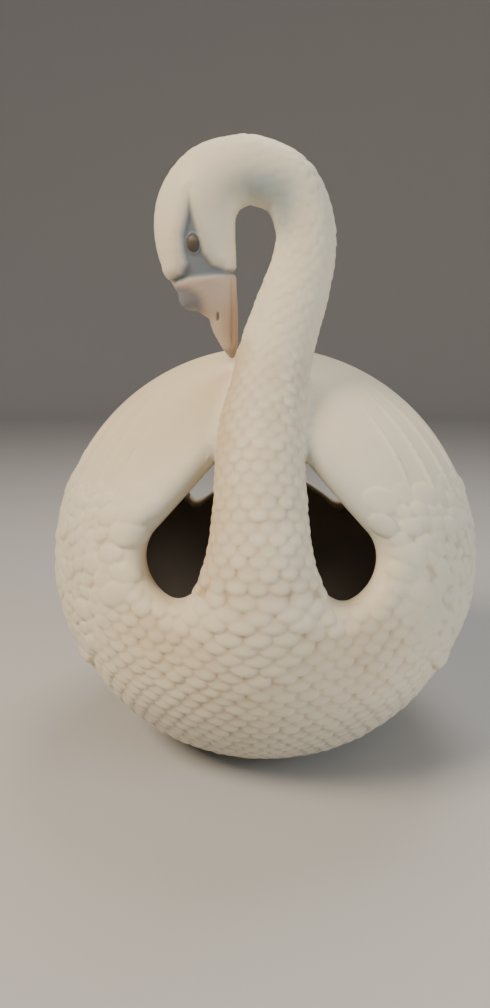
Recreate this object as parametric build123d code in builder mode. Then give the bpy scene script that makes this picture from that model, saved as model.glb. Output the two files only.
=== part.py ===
"""Swan television lamp: a hollow bisque porcelain swan with an upright bulb socket inside it.

Millimetres, +Z up. The swan faces -Y and its head hangs over -X. The origin is the centre of the felt
that the lamp stands on. The porcelain is five castings luted together with slip: the foot with its
floor, the bowl of the body, two wings that close over it, and the neck with its head. The lamp holder
stands on a threaded pipe.
"""

import os
from math import cos, radians, sin

from build123d import *

os.makedirs("parts", exist_ok=True)

# ---- felt, card and foot ------------------------------------------------------------------------
FELT_T = 1.5
CARD_T = 1.0
FELT_R = 37.0  # felt and card, a little inside the edge of the foot
RECESS_R = 34.0
RECESS_H = 12.5
FLOOR_T = 5.0
FOOT_LIP = 1.0  # how far the foot casting rises past its floor, clear of the cord inlet

# ---- porcelain: the egg that body and wings are cut from ----------------------------------------
EGG_R = 110.0  # largest cross-section, over the wings
EGG_FRONT = 104.0  # from the largest cross-section to the breast
EGG_REAR = 128.0  # from the largest cross-section to the tail
EGG_CENTRE_Z = 102.0
EGG_STEPS = 8  # pieces of the egg's outline from breast to tail
EGG_SEAM = 100.0  # turn of the egg's seam about its long axis, clear of every opening
WING_STEP = 2.0  # how far the wings stand out of the body
BODY_WALL = 4.5

# ---- porcelain: where the wings meet the body, seen from the front ------------------------------
WING_SHOULDER_X = 50.0
WING_SHOULDER_Z = 130.0
WING_HEM_X = 88.0
WING_HEM_Z = 51.0
WING_HEM_ROUND = 26.0

# ---- porcelain: the window either side of the neck ----------------------------------------------
WINDOW_BOTTOM_Z = 103.0
WINDOW_LOW_X = 35.0
WINDOW_WIDE_X = 50.0
WINDOW_WIDE_Z = 124.0
WINDOW_PEAK_X = 17.0
WINDOW_PEAK_Z = 164.0
WINDOW_INNER_Y = -20.0  # the cut stops here, inside the hollow

# ---- porcelain: the opening at the back, over the tail ------------------------------------------
TAIL_PEAK_Z = 128.0
BACK_CORNER_X = 52.0
BACK_CORNER_Z = 102.0
BACK_WIDE_X = 62.0
BACK_WIDE_Z = 142.0
BACK_TOP_Z = 186.0
BACK_INNER_Y = 25.0  # the cut starts here, inside the hollow

# ---- cord inlet through the back of the foot ----------------------------------------------------
INLET_Z = 10.0
INLET_R = 4.2
INLET_SEAT_Y = 46.0
POCKET_R = 6.8
POCKET_WALL = 3.6
GROMMET_BORE_R = 3.0
GROMMET_FLANGE_R = 6.3
GROMMET_FLANGE_T = 1.6
GROMMET_L = 10.0

# ---- lamp pipe and its fasteners ----------------------------------------------------------------
PIPE_R = 4.95
PIPE_BORE_R = 3.3
PIPE_HOLE_CLEAR = 0.55
PIPE_ENDS = 2.5  # how far the pipe stands out of the nut below and the bushing above
WASHER_R = 13.0
WASHER_T = 1.5
NUT_FLATS = 15.0
NUT_T = 4.5

# ---- socket -------------------------------------------------------------------------------------
BUSHING_R = 7.0
BUSHING_H = 9.0
CAP_R = 17.5
CAP_DOME_H = 7.0
CAP_RIM_H = 3.5
METAL_T = 0.6
SHELL_H = 40.0
SHELL_BEAD_R = 0.9
LINER_T = 0.8
LINER_SHORT = 3.0  # how far the liner stays below the top of the shell
CORE_H = 12.0
SCREW_SHELL_T = 0.5
SCREW_SHELL_H = 22.5
CONTACT_R = 3.5
CONTACT_T = 1.0
CONTACT_HOLE_R = 6.0
SET_SCREW_R = 1.5
SET_SCREW_L = 5.0
TERMINAL_X = 9.0
TERMINAL_HEAD_R = 2.6
TERMINAL_HEAD_T = 1.6
TERMINAL_SHANK_R = 1.5
TERMINAL_SHANK_L = 4.0
SLOT_W = 0.7

# ---- turn switch at the back of the socket ------------------------------------------------------
STEM_R = 2.0
STEM_CLEAR = 0.3
STEM_IN_Y = 8.0
STEM_OUT_Y = 30.0
KNOB_HUB_R = 3.6
KNOB_HUB_Y = 18.5
KNOB_L = 15.0
KNOB_PADDLE_W = 15.0
KNOB_PADDLE_T = 4.0
KNOB_PADDLE_L = 10.0

# ---- bulb ---------------------------------------------------------------------------------------
BASE_R = 13.0
BASE_H = 21.0
BASE_T = 0.4
BASE_FIT = 0.3  # gap all round between the bulb's base and the screw shell
TIP_R = 4.2
TIP_H = 1.6
TIP_GAP = 0.15  # left between tip and centre contact, so that the two bodies never overlap
INSULATOR_H = 3.4
INSULATOR_R = 11.0
GLASS_T = 0.8
GLASS_SEAT_H = 7.0
GLASS_R = 17.5
GLASS_NECK_H = 6.0
GLASS_SHOULDER_H = 12.0
STEM_GLASS_R = 3.4
STEM_GLASS_H = 17.0
STEM_DISC_T = 1.6
LEAD_R = 0.4
LEAD_X = 7.0
LEAD_H = 12.0

# ---- neck and head: centre, half thickness in the plane of the loop, half width across it -------
NECK_WALL = 3.6
HOLLOW_SECTIONS = 14  # the cavity of the neck opens into the body and ends below the crook
NECK = [
    ((0.0, -76.0, 74.0), 13.0, 22.0),
    ((0.0, -83.0, 84.0), 16.0, 26.5),
    ((0.0, -88.5, 95.0), 18.5, 28.0),
    ((0.0, -91.2, 106.5), 20.2, 26.6),
    ((0.0, -91.2, 118.5), 20.6, 22.8),
    ((0.0, -88.6, 132.0), 20.0, 20.6),
    ((0.0, -85.0, 147.0), 18.9, 19.1),
    ((-0.2, -79.0, 162.0), 18.3, 18.5),
    ((0.3, -71.0, 177.0), 17.6, 17.8),
    ((2.9, -61.5, 193.0), 16.5, 16.6),
    ((6.6, -53.0, 212.0), 15.8, 15.8),
    ((13.0, -48.0, 232.5), 14.7, 14.6),
    ((17.8, -46.8, 249.0), 13.4, 13.4),
    ((18.3, -47.0, 264.5), 12.6, 12.7),
    ((11.2, -47.6, 280.4), 13.0, 12.9),
    ((-3.4, -48.0, 287.2), 13.8, 13.2),
    ((-13.6, -48.2, 286.4), 14.6, 13.6),
    ((-23.2, -48.4, 281.8), 16.3, 14.0),
    ((-29.4, -48.4, 272.0), 17.6, 14.2),
    ((-30.4, -48.0, 261.0), 17.9, 14.0),
    ((-28.6, -47.0, 250.5), 16.4, 12.6),
    ((-24.6, -45.6, 239.5), 12.6, 9.4),
    ((-20.2, -44.2, 230.0), 8.6, 6.6),
    ((-17.6, -43.0, 221.5), 6.0, 5.0),
    ((-15.6, -41.8, 213.5), 3.8, 3.8),
    ((-14.6, -41.0, 208.6), 1.6, 1.8),
]
BILL_KNOB_CENTRE = (-31.4, -45.8, 235.2)
BILL_KNOB_R = 5.0

# ---- levels that follow from the sizes above ----------------------------------------------------
foot_z = FELT_T + CARD_T
recess_top = foot_z + RECESS_H
floor_top = recess_top + FLOOR_T
upper_nut_z = floor_top + WASHER_T
bushing_z = upper_nut_z + NUT_T
cap_z = bushing_z + BUSHING_H
core_z = cap_z + CAP_DOME_H + METAL_T
core_top = core_z + CORE_H
tip_z = core_top + CONTACT_T + TIP_GAP
base_z = tip_z + TIP_H + INSULATOR_H
base_top = base_z + BASE_H
pipe_top = cap_z + PIPE_ENDS
pipe_bottom = recess_top - WASHER_T - NUT_T - PIPE_ENDS
shell_r = CAP_R - METAL_T
liner_r = shell_r - METAL_T
core_r = liner_r - LINER_T
screw_shell_r = BASE_R + BASE_FIT + SCREW_SHELL_T
stem_z = core_z + CORE_H / 2
FAR = 4 * EGG_R


# ---- helpers ------------------------------------------------------------------------------------
def finish(part, name):
    """Labels a finished piece, writes it and says how large it is."""
    part.label = name
    export_step(part, f"parts/{name}.step")
    print(f"{name}: {part.volume / 1000:.2f} cm3, {len(part.solids())} solid(s)")


def egg(inset):
    """The lamp's egg, or one inside it: every cross-section is a circle about the same line."""
    steps = [radians(180 * i / EGG_STEPS - 90) for i in range(EGG_STEPS + 1)]
    reach = [EGG_FRONT - inset if step < 0 else EGG_REAR - inset for step in steps]
    outline = [((EGG_R - inset) * cos(step), far * sin(step)) for step, far in zip(steps, reach)]
    with BuildPart() as shape:
        with BuildSketch(Plane.XY):
            with BuildLine():
                Spline(*[(abs(x), y) for x, y in outline], tangents=[(1, 0), (-1, 0)])
                Line((0, outline[-1][1]), (0, outline[0][1]))
            make_face()
        revolve(axis=Axis.Y)
    return shape.part.moved(Location((0, 0, EGG_CENTRE_Z), (0, EGG_SEAM, 0)))


def neck_loft(count, wall):
    """A smooth tube through ellipses square to the line through their centres, from the breast up."""
    with BuildPart() as shape:
        for i, (centre, thick, wide) in enumerate(NECK[:count]):
            before = Vector(*NECK[max(i - 1, 0)][0])
            after = Vector(*NECK[min(i + 1, len(NECK) - 1)][0])
            along = (after - before).normalized()
            side = Vector(0, 1, 0).cross(along).normalized()
            if abs(along.X) < abs(along.Y) * 0.5:
                side = Vector(1, 0, 0)
                thick, wide = wide, thick
            with BuildSketch(Plane(origin=centre, x_dir=side, z_dir=along)):
                Ellipse(thick - wall, wide - wall)
        loft()
    return shape.part


def turned(*profile):
    """A solid of revolution about the lamp's axis from a closed outline of (radius, height)."""
    with BuildPart() as shape:
        with BuildSketch(Plane.XZ):
            with BuildLine():
                Polyline(*profile, close=True)
            make_face()
        revolve(axis=Axis.Z)
    return shape.part


def ring(outer, inner, bottom, height):
    """A flat-ended tube about the lamp's axis."""
    return turned((inner, bottom), (outer, bottom), (outer, bottom + height), (inner, bottom + height))


def rod_y(radius, start, length, z):
    """A round bar that runs towards the back, at a height above the table."""
    with BuildPart() as shape:
        with BuildSketch(Plane(origin=(0, start, z), x_dir=(1, 0, 0), z_dir=(0, 1, 0))):
            Circle(radius)
        extrude(amount=length)
    return shape.part


def nut(bottom):
    """A hexagonal lamp nut."""
    with BuildPart() as shape:
        with BuildSketch(Plane.XY.offset(bottom)):
            RegularPolygon(NUT_FLATS / 2, 6, major_radius=False)
            Circle(PIPE_R, mode=Mode.SUBTRACT)
        extrude(amount=NUT_T)
    return shape.part


# ---- porcelain ----------------------------------------------------------------------------------
wing_egg = egg(0)
body_egg = egg(WING_STEP)
hollow = egg(WING_STEP + BODY_WALL)
neck_outside = neck_loft(len(NECK), 0)

# the region of the wings, as an outline seen from the front
with BuildPart() as wing_region:
    with BuildSketch(Plane.XZ.offset(-FAR / 2)) as wing_outline:
        with BuildLine():
            Polyline(
                (-FAR, WING_HEM_Z),
                (-WING_HEM_X, WING_HEM_Z),
                (-WING_SHOULDER_X, WING_SHOULDER_Z),
                (WING_SHOULDER_X, WING_SHOULDER_Z),
                (WING_HEM_X, WING_HEM_Z),
                (FAR, WING_HEM_Z),
                (FAR, FAR),
                (-FAR, FAR),
                close=True,
            )
        make_face()
        hems = [v for v in wing_outline.vertices() if abs(abs(v.X) - WING_HEM_X) < 1 and v.Z < FAR / 2]
        fillet(hems, radius=WING_HEM_ROUND)
    extrude(amount=FAR)

# one opening behind the neck makes both windows
with BuildPart() as windows:
    with BuildSketch(Plane.XZ.offset(-WINDOW_INNER_Y)):
        with BuildLine():
            Line((0, WINDOW_PEAK_Z), (WINDOW_PEAK_X, WINDOW_PEAK_Z))
            Spline(
                (WINDOW_PEAK_X, WINDOW_PEAK_Z),
                (WINDOW_WIDE_X, WINDOW_WIDE_Z),
                (WINDOW_LOW_X, WINDOW_BOTTOM_Z),
                tangents=[(1, -0.8), (-1, 0)],
            )
            Line((WINDOW_LOW_X, WINDOW_BOTTOM_Z), (0, WINDOW_BOTTOM_Z))
            mirror(about=Plane.YZ)
        make_face()
    extrude(amount=EGG_REAR)

with BuildPart() as back_opening:
    with BuildSketch(Plane.XZ.offset(-BACK_INNER_Y - EGG_REAR)):
        with BuildLine():
            Spline((0, TAIL_PEAK_Z), (BACK_CORNER_X, BACK_CORNER_Z), tangents=[(1, 0), (1, -0.4)])
            Spline(
                (BACK_CORNER_X, BACK_CORNER_Z),
                (BACK_WIDE_X, BACK_WIDE_Z),
                (0, BACK_TOP_Z),
                tangents=[(0.6, 1), (-1, 0)],
            )
            mirror(about=Plane.YZ)
        make_face()
    extrude(amount=EGG_REAR)

# the cavity of the body stops at the raised floor and at the sleeve round the cord inlet
raised_r = RECESS_R + BODY_WALL
with BuildPart() as cavity:
    add(hollow)
    add(turned((0, -FAR), (raised_r, -FAR), (raised_r, floor_top), (0, floor_top)), mode=Mode.SUBTRACT)
    add(rod_y(POCKET_R + POCKET_WALL, RECESS_R, EGG_REAR, INLET_Z), mode=Mode.SUBTRACT)

with BuildPart() as body_casting:
    add(body_egg)
    add(cavity.part, mode=Mode.SUBTRACT)
    add(turned((0, -FAR), (FAR, -FAR), (FAR, foot_z), (0, foot_z)), mode=Mode.SUBTRACT)
    add(turned((0, foot_z), (RECESS_R, foot_z), (RECESS_R, recess_top), (0, recess_top)), mode=Mode.SUBTRACT)
    add(ring(PIPE_R + PIPE_HOLE_CLEAR, 0, foot_z, floor_top), mode=Mode.SUBTRACT)
    add(rod_y(INLET_R, 0, INLET_SEAT_Y + 1, INLET_Z), mode=Mode.SUBTRACT)
    add(rod_y(POCKET_R, INLET_SEAT_Y, EGG_REAR, INLET_Z), mode=Mode.SUBTRACT)
    add(wing_region.part, mode=Mode.SUBTRACT)
    add(windows.part, mode=Mode.SUBTRACT)
    add(back_opening.part, mode=Mode.SUBTRACT)
    add(neck_outside, mode=Mode.SUBTRACT)
for name, kept in (("swan_foot", Keep.BOTTOM), ("swan_body", Keep.TOP)):
    with BuildPart() as slice_of_body:
        add(body_casting.part)
        split(bisect_by=Plane.XY.offset(floor_top + FOOT_LIP), keep=kept)
    finish(slice_of_body.part, name)

with BuildPart() as wings:
    add(wing_egg)
    add(hollow, mode=Mode.SUBTRACT)
    add(wing_region.part, mode=Mode.INTERSECT)
    add(windows.part, mode=Mode.SUBTRACT)
    add(back_opening.part, mode=Mode.SUBTRACT)
    add(neck_outside, mode=Mode.SUBTRACT)
for name, side in (("left_wing", -1), ("right_wing", 1)):
    with BuildPart() as wing:
        add(wings.part)
        with Locations((side * FAR / 2, 0, 0)):
            Box(FAR, FAR, FAR, mode=Mode.INTERSECT)
    finish(wing.part, name)

with BuildPart() as neck_and_head:
    add(neck_outside)
    with Locations(BILL_KNOB_CENTRE):
        Sphere(BILL_KNOB_R)
    add(neck_loft(HOLLOW_SECTIONS, NECK_WALL), mode=Mode.SUBTRACT)
finish(neck_and_head.part, "neck_and_head")

# ---- felt and card under the foot ---------------------------------------------------------------
for name, bottom, thickness in (("felt_pad", 0.0, FELT_T), ("base_card", FELT_T, CARD_T)):
    with BuildPart() as disc:
        with BuildSketch(Plane.XY.offset(bottom)):
            Circle(FELT_R)
        extrude(amount=thickness)
    finish(disc.part, name)

# ---- cord grommet -------------------------------------------------------------------------------
with BuildPart() as cord_grommet:
    add(rod_y(INLET_R, INLET_SEAT_Y - GROMMET_L, GROMMET_L, INLET_Z))
    add(rod_y(GROMMET_FLANGE_R, INLET_SEAT_Y, GROMMET_FLANGE_T, INLET_Z))
    add(rod_y(GROMMET_BORE_R, 0, EGG_REAR, INLET_Z), mode=Mode.SUBTRACT)
finish(cord_grommet.part, "cord_grommet")

# ---- pipe, washers and nuts ---------------------------------------------------------------------
finish(ring(PIPE_R, PIPE_BORE_R, pipe_bottom, pipe_top - pipe_bottom), "lamp_pipe")
finish(ring(WASHER_R, PIPE_R, recess_top - WASHER_T, WASHER_T), "lower_washer")
finish(nut(recess_top - WASHER_T - NUT_T), "lower_nut")
finish(ring(WASHER_R, PIPE_R, floor_top, WASHER_T), "upper_washer")
finish(nut(upper_nut_z), "upper_nut")

# ---- socket -------------------------------------------------------------------------------------
with BuildPart() as socket_cap:
    add(
        turned(
            (BUSHING_R, cap_z - METAL_T * 3),
            (BUSHING_R + METAL_T, cap_z - METAL_T * 3),
            (BUSHING_R + METAL_T, cap_z - METAL_T),
            (CAP_R - METAL_T * 2, cap_z + CAP_DOME_H - METAL_T * 2),
            (CAP_R, cap_z + CAP_DOME_H),
            (CAP_R, cap_z + CAP_DOME_H + CAP_RIM_H),
            (CAP_R - METAL_T, cap_z + CAP_DOME_H + CAP_RIM_H),
            (CAP_R - METAL_T, cap_z + CAP_DOME_H + METAL_T),
            (CAP_R - METAL_T * 3, cap_z + CAP_DOME_H - METAL_T),
            (BUSHING_R, cap_z),
        )
    )
finish(socket_cap.part, "socket_cap")

set_screw_z = bushing_z + BUSHING_H / 3
with BuildPart() as cap_bushing:
    add(ring(BUSHING_R, PIPE_R, bushing_z, BUSHING_H))
    add(rod_y(SET_SCREW_R, 0, BUSHING_R * 2, set_screw_z), mode=Mode.SUBTRACT)
finish(cap_bushing.part, "cap_bushing")

with BuildPart() as cap_set_screw:
    add(rod_y(SET_SCREW_R, PIPE_R, SET_SCREW_L, set_screw_z))
    with Locations((0, PIPE_R + SET_SCREW_L, set_screw_z)):
        Box(SET_SCREW_R * 3, SLOT_W * 2, SLOT_W, mode=Mode.SUBTRACT)
finish(cap_set_screw.part, "cap_set_screw")

shell_bottom = core_z
shell_top = shell_bottom + SHELL_H
with BuildPart() as socket_shell:
    add(ring(shell_r, liner_r, shell_bottom, SHELL_H))
    with BuildSketch(Plane.XZ):
        with Locations((shell_r - METAL_T / 2, shell_top)):
            Circle(SHELL_BEAD_R)
    revolve(axis=Axis.Z)
    add(rod_y(STEM_R + STEM_CLEAR, 0, CAP_R * 2, stem_z), mode=Mode.SUBTRACT)
finish(socket_shell.part, "socket_shell")

with BuildPart() as shell_liner:
    add(ring(liner_r, core_r, shell_bottom, SHELL_H - LINER_SHORT))
    add(rod_y(STEM_R + STEM_CLEAR, 0, CAP_R * 2, stem_z), mode=Mode.SUBTRACT)
finish(shell_liner.part, "shell_liner")

with BuildPart() as socket_core:
    add(ring(core_r, 0, core_z, CORE_H))
    add(rod_y(STEM_R + STEM_CLEAR, STEM_IN_Y - STEM_CLEAR, core_r, stem_z), mode=Mode.SUBTRACT)
    for x in (-TERMINAL_X, TERMINAL_X):
        with Locations((x, 0, core_z)):
            Cylinder(TERMINAL_SHANK_R, TERMINAL_SHANK_L * 2, mode=Mode.SUBTRACT)
finish(socket_core.part, "socket_core")

finish(
    turned(
        (CONTACT_HOLE_R, core_top),
        (screw_shell_r, core_top),
        (screw_shell_r, core_top + SCREW_SHELL_H),
        (screw_shell_r - SCREW_SHELL_T, core_top + SCREW_SHELL_H),
        (screw_shell_r - SCREW_SHELL_T, core_top + SCREW_SHELL_T),
        (CONTACT_HOLE_R, core_top + SCREW_SHELL_T),
    ),
    "screw_shell",
)
finish(ring(CONTACT_R, 0, core_top, CONTACT_T), "centre_contact")

for name, x in (("terminal_screw_a", -TERMINAL_X), ("terminal_screw_b", TERMINAL_X)):
    with BuildPart() as terminal_screw:
        with Locations((x, 0, core_z - TERMINAL_HEAD_T / 2)):
            Cylinder(TERMINAL_HEAD_R, TERMINAL_HEAD_T)
        with Locations((x, 0, core_z + TERMINAL_SHANK_L / 2)):
            Cylinder(TERMINAL_SHANK_R, TERMINAL_SHANK_L)
        with Locations((x, 0, core_z - TERMINAL_HEAD_T)):
            Box(TERMINAL_HEAD_R * 3, SLOT_W, SLOT_W * 2, mode=Mode.SUBTRACT)
    finish(terminal_screw.part, name)

# ---- turn switch --------------------------------------------------------------------------------
finish(rod_y(STEM_R, STEM_IN_Y, STEM_OUT_Y - STEM_IN_Y, stem_z), "switch_stem")

with BuildPart() as switch_knob:
    add(rod_y(KNOB_HUB_R, KNOB_HUB_Y, KNOB_L, stem_z))
    with Locations((0, KNOB_HUB_Y + KNOB_L - KNOB_PADDLE_L / 2, stem_z)):
        Box(KNOB_PADDLE_T, KNOB_PADDLE_L, KNOB_PADDLE_W)
    paddle_corners = switch_knob.edges().filter_by(Axis.X).group_by(SortBy.LENGTH)[-1]
    fillet(paddle_corners, radius=KNOB_PADDLE_L / 3)
    add(rod_y(STEM_R, 0, STEM_OUT_Y, stem_z), mode=Mode.SUBTRACT)
finish(switch_knob.part, "switch_knob")

# ---- bulb ---------------------------------------------------------------------------------------
glass_neck_r = BASE_R - BASE_T
glass_seat_z = base_top - GLASS_SEAT_H
globe_z = base_top + GLASS_NECK_H + GLASS_SHOULDER_H

finish(ring(TIP_R, 0, tip_z, TIP_H), "bulb_contact")
finish(
    turned(
        (0, tip_z + TIP_H),
        (TIP_R + 1, tip_z + TIP_H),
        (INSULATOR_R, base_z),
        (0, base_z),
    ),
    "bulb_insulator",
)
finish(
    turned(
        (0, base_z),
        (INSULATOR_R, base_z),
        (BASE_R, base_z + BASE_T * 4),
        (BASE_R, base_top),
        (glass_neck_r, base_top),
        (glass_neck_r, base_z + BASE_T * 4),
        (INSULATOR_R - BASE_T, base_z + BASE_T),
        (0, base_z + BASE_T),
    ),
    "bulb_base",
)

with BuildPart() as bulb_glass:
    for inset, mode in ((0.0, Mode.ADD), (GLASS_T, Mode.SUBTRACT)):
        with BuildSketch(Plane.XZ):
            with BuildLine():
                Line((0, glass_seat_z), (glass_neck_r - inset, glass_seat_z))
                Line((glass_neck_r - inset, glass_seat_z), (glass_neck_r - inset, base_top))
                Spline(
                    (glass_neck_r - inset, base_top),
                    (GLASS_R - inset, globe_z),
                    tangents=[(0, 1), (0, 1)],
                )
                CenterArc((0, globe_z), GLASS_R - inset, 0, 90)
                Line((0, globe_z + GLASS_R - inset), (0, glass_seat_z))
            make_face()
        revolve(axis=Axis.Z, mode=mode)
finish(bulb_glass.part, "bulb_glass")

with BuildPart() as bulb_stem:
    add(ring(glass_neck_r - GLASS_T, 0, glass_seat_z, STEM_DISC_T))
    add(ring(STEM_GLASS_R, 0, glass_seat_z, STEM_GLASS_H))
    with Locations((0, 0, glass_seat_z + STEM_GLASS_H)):
        Box(LEAD_X * 2, STEM_GLASS_R, STEM_GLASS_R)
finish(bulb_stem.part, "bulb_stem")

lead_z = glass_seat_z + STEM_GLASS_H + STEM_GLASS_R / 2
with BuildPart() as bulb_filament:
    for x in (-LEAD_X * 0.8, LEAD_X * 0.8):
        with Locations((x, 0, lead_z + LEAD_H / 2)):
            Cylinder(LEAD_R, LEAD_H)
    with Locations(Location((0, 0, lead_z + LEAD_H), (0, 90, 0))):
        Cylinder(LEAD_R, LEAD_X * 1.6 + LEAD_R * 2)
finish(bulb_filament.part, "bulb_filament")
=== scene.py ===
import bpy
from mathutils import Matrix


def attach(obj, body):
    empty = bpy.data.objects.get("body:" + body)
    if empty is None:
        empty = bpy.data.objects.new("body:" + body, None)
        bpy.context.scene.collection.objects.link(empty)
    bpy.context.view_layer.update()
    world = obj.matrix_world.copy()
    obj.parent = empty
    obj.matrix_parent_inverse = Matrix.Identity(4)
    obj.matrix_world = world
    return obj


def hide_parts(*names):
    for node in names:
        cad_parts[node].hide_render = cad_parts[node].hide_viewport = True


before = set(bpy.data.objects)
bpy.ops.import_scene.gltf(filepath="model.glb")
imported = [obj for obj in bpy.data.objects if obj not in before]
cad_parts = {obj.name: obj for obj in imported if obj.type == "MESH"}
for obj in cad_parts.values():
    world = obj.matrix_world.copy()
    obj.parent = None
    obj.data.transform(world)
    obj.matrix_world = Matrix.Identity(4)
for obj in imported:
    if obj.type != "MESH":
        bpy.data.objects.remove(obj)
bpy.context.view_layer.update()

import math

import bpy
import numpy as np
from mathutils import Vector, kdtree

# ---------------------------------------------------------------------------------------------
# Table and light. Pale seamless paper lies under the lamp and rises all round it like a bowl. A
# warm soft box stands at the upper left, a cooler one at the right, and a small one behind.
# ---------------------------------------------------------------------------------------------
PAPER_R = 1.9
PAPER_BEND = 0.8
PAPER_HEIGHT = 2.4
PAPER_BEND_STEPS = 24
AROUND = 96


def seamless_paper():
    """A round floor that bends up through a quarter circle into a wall."""
    bend = np.linspace(0, math.pi / 2, PAPER_BEND_STEPS)
    profile = [(0.001, 0.0), (PAPER_R * 0.5, 0.0)]
    profile += [(PAPER_R + PAPER_BEND * math.sin(a), PAPER_BEND * (1 - math.cos(a))) for a in bend]
    profile.append((PAPER_R + PAPER_BEND, PAPER_HEIGHT))
    turns = np.linspace(0, math.tau, AROUND, endpoint=False)
    points = [(r * math.cos(t), r * math.sin(t), z) for r, z in profile for t in turns]
    corner = np.arange(len(profile) * AROUND).reshape(len(profile), AROUND)
    beside = np.roll(corner, -1, axis=1)
    faces = np.stack([corner[:-1], beside[:-1], beside[1:], corner[1:]], axis=-1).reshape(-1, 4).tolist()
    mesh = bpy.data.meshes.new("seamless_paper")
    mesh.from_pydata(points, [], faces)
    mesh.shade_smooth()
    sheet = bpy.data.objects.new("seamless_paper", mesh)
    bpy.context.collection.objects.link(sheet)
    return sheet


paper = seamless_paper()
paper_finish = bpy.data.materials.new("seamless_paper")
paper_finish.use_nodes = True
paper_shader = paper_finish.node_tree.nodes["Principled BSDF"]
paper_shader.inputs["Base Color"].default_value = (0.52, 0.50, 0.48, 1)
paper_shader.inputs["Roughness"].default_value = 0.85
paper.data.materials.append(paper_finish)


def soft_box(name, place, aim, size, power, colour):
    """A square area light that faces a point."""
    lamp = bpy.data.lights.new(name, "AREA")
    lamp.size = size
    lamp.energy = power
    lamp.color = colour
    holder = bpy.data.objects.new(name, lamp)
    holder.location = place
    holder.rotation_euler = (Vector(aim) - Vector(place)).to_track_quat("-Z", "Y").to_euler()
    bpy.context.collection.objects.link(holder)
    return holder


soft_box("key_light", (-0.70, -0.62, 0.98), (0, 0, 0.16), 0.42, 17.0, (1.0, 0.87, 0.68))
soft_box("fill_light", (0.98, -0.55, 0.40), (0, 0, 0.14), 0.6, 6.5, (0.86, 0.93, 1.0))
soft_box("top_light", (0.15, 0.35, 1.1), (0, 0, 0.2), 0.5, 5.0, (1.0, 0.97, 0.93))

room = bpy.data.worlds.new("room")
room.use_nodes = True
room.node_tree.nodes["Background"].inputs["Color"].default_value = (0.78, 0.82, 0.88, 1)
room.node_tree.nodes["Background"].inputs["Strength"].default_value = 0.24
bpy.context.scene.world = room

# ---------------------------------------------------------------------------------------------
# Camera. It stands close in front of the lamp, a little above the wings, and is tipped down, so
# that the near breast looks large and the wings fall away on both sides.
# ---------------------------------------------------------------------------------------------
CAMERA_PLACE = (0.0078, -0.400, 0.214)
CAMERA_TIP = math.radians(12.0)
CAMERA_TURN = math.radians(2.6)

camera_data = bpy.data.cameras.new("camera")
camera_data.sensor_width = 36.0
camera_data.lens = 27.04
camera = bpy.data.objects.new("camera", camera_data)
camera.location = CAMERA_PLACE
camera.rotation_euler = (math.pi / 2 - CAMERA_TIP, 0, CAMERA_TURN)
bpy.context.collection.objects.link(camera)
bpy.context.scene.camera = camera

# ---------------------------------------------------------------------------------------------
# The swan's form. It is slip-cast bisque porcelain, about 4.5 mm thick, egg-shaped and hollow.
# The wall rolls inward round the two windows beside the neck and round the opening over the tail.
# All of it is modelled in millimetres, as a distance to the porcelain's surface.
# ---------------------------------------------------------------------------------------------
MM = 0.001
EGG_R = 110.0
EGG_FRONT = 104.0
EGG_REAR = 128.0
EGG_Z = 102.0
WALL = 4.5
STEP = 2.0  # how far the wings stand out of the bowl of the body

# the teardrop windows: a wide round end low down and a point beside the neck, each given as x and z
WINDOW_LOW = (33.0, 121.5)
WINDOW_LOW_R = 18.0
WINDOW_TOP = (16.5, 164.5)
WINDOW_TOP_R = 1.5
WINDOW_ROLL = 11.0

# the opening at the back: an oval, cut off below by the upturned edge of the tail
BACK_Z = 144.0
BACK_HALF_WIDTH = 62.0
BACK_ABOVE = 42.0
BACK_BELOW = 60.0
TAIL_PEAK_Z = 128.0
TAIL_FALL = 26.0
TAIL_HALF_WIDTH = 52.0
BACK_ROLL = 4.5
RIM_TURN_IN = 3.0  # how far a rim runs inward past its bend

# the wings' lower edge runs slanting from the windows down to the sides, and then level to the back
HEM_LOW = (88.0, 51.0)
HEM_HIGH = (52.0, 130.0)
HEM_EASE = 14.0

# the foot is hollow beneath, and the cord comes in through a sleeve with a pocket for its grommet
FOOT_Z = 2.5
RECESS_R = 34.0
RECESS_TOP = 15.0
FLOOR_TOP = 20.0
PIPE_HOLE_R = 5.5
INLET_Z = 10.0
INLET_R = 4.25
INLET_SEAT_Y = 46.0
POCKET_R = 6.8
SLEEVE_R = 10.4


def ramp(low, high, value):
    """0 below low, 1 above high, and an easy curve between."""
    t = np.clip((value - low) / (high - low), 0, 1)
    return t * t * (3 - 2 * t)


def soft_union(a, b, blend):
    """The nearer of two distances, with the corner between them filled over the blend."""
    h = np.clip(0.5 + 0.5 * (b - a) / blend, 0, 1)
    return b + (a - b) * h - blend * h * (1 - h)


def soft_cut(a, b, blend):
    """What is inside both, with the edge eased."""
    return -soft_union(-a, -b, blend)


def egg(p):
    """Distance outside the largest egg."""
    far = np.where(p[:, 1] < 0, EGG_FRONT, EGG_REAR)
    x, y, z = p[:, 0] / EGG_R, p[:, 1] / far, (p[:, 2] - EGG_Z) / EGG_R
    k = np.sqrt(x * x + y * y + z * z) + 1e-6
    slope = np.sqrt((x / EGG_R) ** 2 + (y / far) ** 2 + (z / EGG_R) ** 2) + 1e-9
    return k * (k - 1) / slope


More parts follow.
